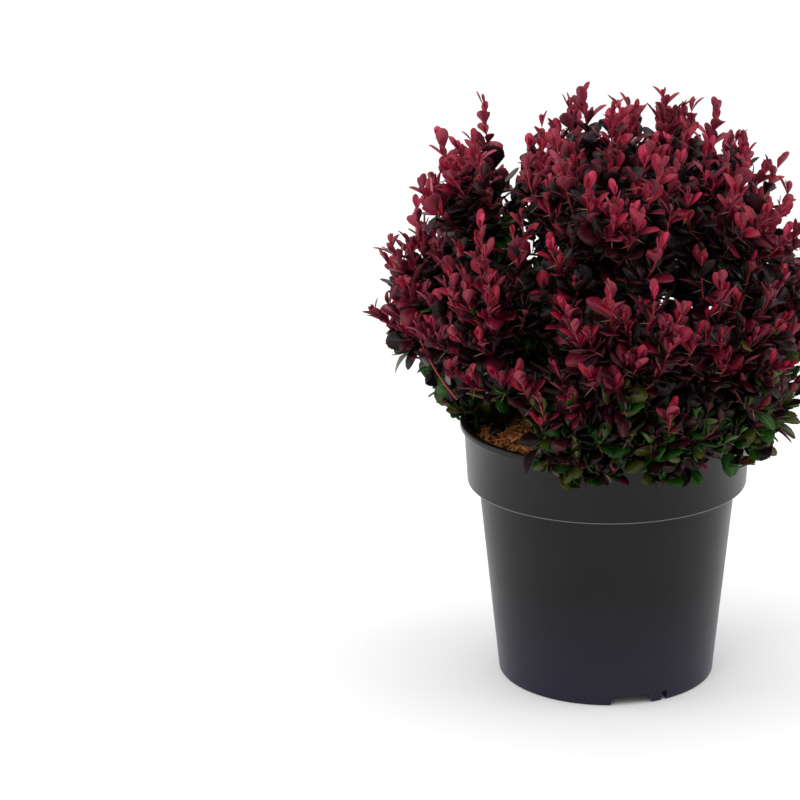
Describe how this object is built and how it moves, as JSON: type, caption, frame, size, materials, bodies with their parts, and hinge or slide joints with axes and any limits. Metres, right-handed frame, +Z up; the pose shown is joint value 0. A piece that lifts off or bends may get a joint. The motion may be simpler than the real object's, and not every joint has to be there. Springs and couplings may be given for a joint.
{
  "type": "potted japanese barberry",
  "caption": "Domed red-leaved japanese barberry shrub on a short stem, growing in the compost of a round black nursery pot with a deep collar.",
  "frame": {"origin": "middle of the pot's flat underside, at ground level", "axes": "+Z up along the pot's axis, -Y towards the front, where the open foot notch is"},
  "size_m": [0.2934, 0.2814, 0.3877],
  "materials": {
    "pot_plastic": "satin moulded black plastic",
    "mulch": "coarse shredded bark over dark compost",
    "bark": "smooth reddish-brown bark",
    "foliage": "waxy dark crimson leaves"
  },
  "bodies": {
    "root": {"pot": "pot_plastic", "compost": "mulch", "main_stem": "bark", "bough_top": "bark", "bough_upper_1": "bark", "bough_upper_2": "bark", "bough_upper_3": "bark", "bough_upper_4": "bark", "bough_upper_5": "bark", "bough_middle_1": "bark", "bough_middle_2": "bark", "bough_middle_3": "bark", "bough_middle_4": "bark", "bough_middle_5": "bark", "bough_middle_6": "bark", "bough_middle_7": "bark", "bough_middle_8": "bark", "bough_lower_1": "bark", "bough_lower_2": "bark", "bough_lower_3": "bark", "bough_lower_4": "bark", "bough_lower_5": "bark", "bough_lower_6": "bark", "bough_lower_7": "bark", "bough_lower_8": "bark", "foliage_top": "foliage", "foliage_upper_1": "foliage", "foliage_upper_2": "foliage", "foliage_upper_3": "foliage", "foliage_upper_4": "foliage", "foliage_upper_5": "foliage", "foliage_middle_1": "foliage", "foliage_middle_2": "foliage", "foliage_middle_3": "foliage", "foliage_middle_4": "foliage", "foliage_middle_5": "foliage", "foliage_middle_6": "foliage", "foliage_middle_7": "foliage", "foliage_middle_8": "foliage", "foliage_lower_1": "foliage", "foliage_lower_2": "foliage", "foliage_lower_3": "foliage", "foliage_lower_4": "foliage", "foliage_lower_5": "foliage", "foliage_lower_6": "foliage", "foliage_lower_7": "foliage", "foliage_lower_8": "foliage"}
  },
  "joints": []
}
